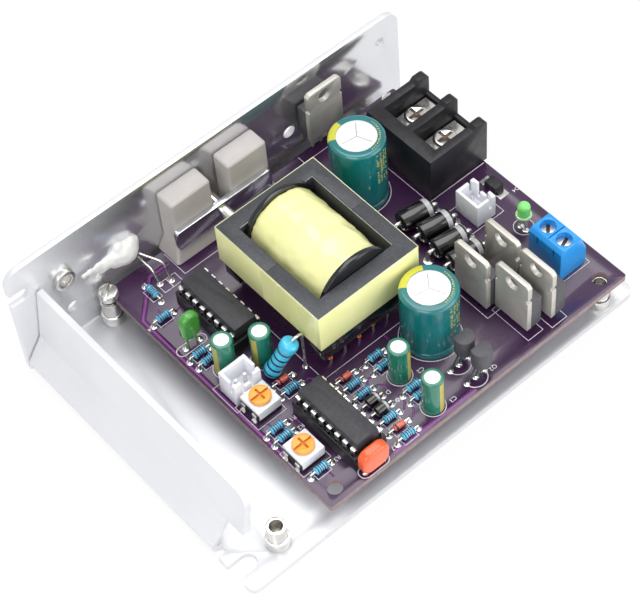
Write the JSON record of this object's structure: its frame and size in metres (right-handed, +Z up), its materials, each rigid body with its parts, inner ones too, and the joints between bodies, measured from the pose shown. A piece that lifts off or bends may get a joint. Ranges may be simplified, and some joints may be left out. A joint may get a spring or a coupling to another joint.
{
  "type": "power inverter board",
  "caption": "Purple circuit board with a transformer, capacitors, transistors and terminals on a folded aluminium chassis.",
  "frame": {"origin": "middle of the folded base's underside", "axes": "+X along the tall wall from the open bay to the terminals, +Y from the open long side to the tall wall, +Z up from the underside"},
  "size_m": [0.1142, 0.0828, 0.0365],
  "materials": {
    "bright_sheet": "polished sheet",
    "bright_steel": "bright plated",
    "board": "purple solder mask",
    "grey_rubber": "smooth grey",
    "black_epoxy": "fine matt moulding",
    "ferrite": "ground ferrite",
    "yellow_tape": "pale yellow polyester tape",
    "black_moulding": "moulded",
    "tinned_lead": "tinned",
    "can_aluminium": "drawn can",
    "teal_sleeve": "shrunk sleeve",
    "green_sleeve": "shrunk sleeve",
    "blue_moulding": "moulded",
    "white_moulding": "moulded",
    "tinned_copper": "matt tin",
    "orange_moulding": "moulded",
    "green_lens": "clear coloured lens",
    "red_glass": "glass",
    "blue_lacquer": "lacquer with colour bands",
    "green_epoxy": "dipped coating",
    "orange_epoxy": "dipped coating",
    "white_sealant": "silicone sealant"
  },
  "bodies": {
    "root": {"chassis": "bright_sheet", "circuit_board": "board", "cover_post": "bright_steel", "board_standoffs": "bright_steel", "board_screws": "bright_steel", "wall_nut": "bright_steel", "insulating_caps": "grey_rubber", "clamped_transistors": "black_epoxy", "clamp_bar": "bright_sheet", "clamp_screw": "bright_steel", "core_half_front": "ferrite", "core_half_rear": "ferrite", "core_tape": "yellow_tape", "bobbin": "black_moulding", "winding": "yellow_tape", "bobbin_pins": "tinned_lead", "rear_capacitor_can": "can_aluminium", "rear_capacitor_sleeve": "teal_sleeve", "front_capacitor_can": "can_aluminium", "front_capacitor_sleeve": "teal_sleeve", "small_capacitor_cans": "can_aluminium", "small_capacitor_sleeves": "green_sleeve", "terminal_block": "black_moulding", "terminal_block_plates": "tinned_lead", "terminal_block_screws": "bright_steel", "screw_terminal": "blue_moulding", "screw_terminal_screws": "bright_steel", "screw_terminal_clamps": "tinned_lead", "output_socket": "white_moulding", "output_socket_pins": "tinned_lead", "input_socket": "white_moulding", "input_socket_pins": "tinned_lead", "controller_chip": "black_epoxy", "driver_chip": "black_epoxy", "controller_socket": "black_moulding", "driver_socket": "black_moulding", "chip_legs": "tinned_lead", "output_transistor_tabs": "tinned_copper", "output_transistor_bodies": "black_epoxy", "wall_transistor_tab": "tinned_copper", "wall_transistor_body": "black_epoxy", "trimmer_body_1": "white_moulding", "trimmer_body_2": "white_moulding", "trimmer_contacts": "tinned_lead", "indicator_led": "green_lens", "led_leads": "tinned_lead", "surface_diode": "black_epoxy", "rectifier_diodes": "black_epoxy", "signal_diodes": "black_epoxy", "glass_diodes": "red_glass", "small_resistors": "blue_lacquer", "power_resistor": "blue_lacquer", "film_capacitor": "green_epoxy", "dipped_capacitor": "orange_epoxy", "signal_transistors": "black_epoxy", "thermistor": "white_sealant", "thermistor_wires": "tinned_lead"},
    "trimmer_1": {"trimmer_rotor_1": "orange_moulding"},
    "trimmer_2": {"trimmer_rotor_2": "orange_moulding"}
  },
  "joints": [
    {"name": "trimmer_1_turn", "type": "hinge", "parent": "root", "child": "trimmer_1", "pos_m": [-0.029, -0.011, 0.0142], "axis": [0, 0, 1], "range_deg": [-120, 120]},
    {"name": "trimmer_2_turn", "type": "hinge", "parent": "root", "child": "trimmer_2", "pos_m": [-0.0303, -0.0268, 0.0142], "axis": [0, 0, 1], "range_deg": [-120, 120]}
  ]
}
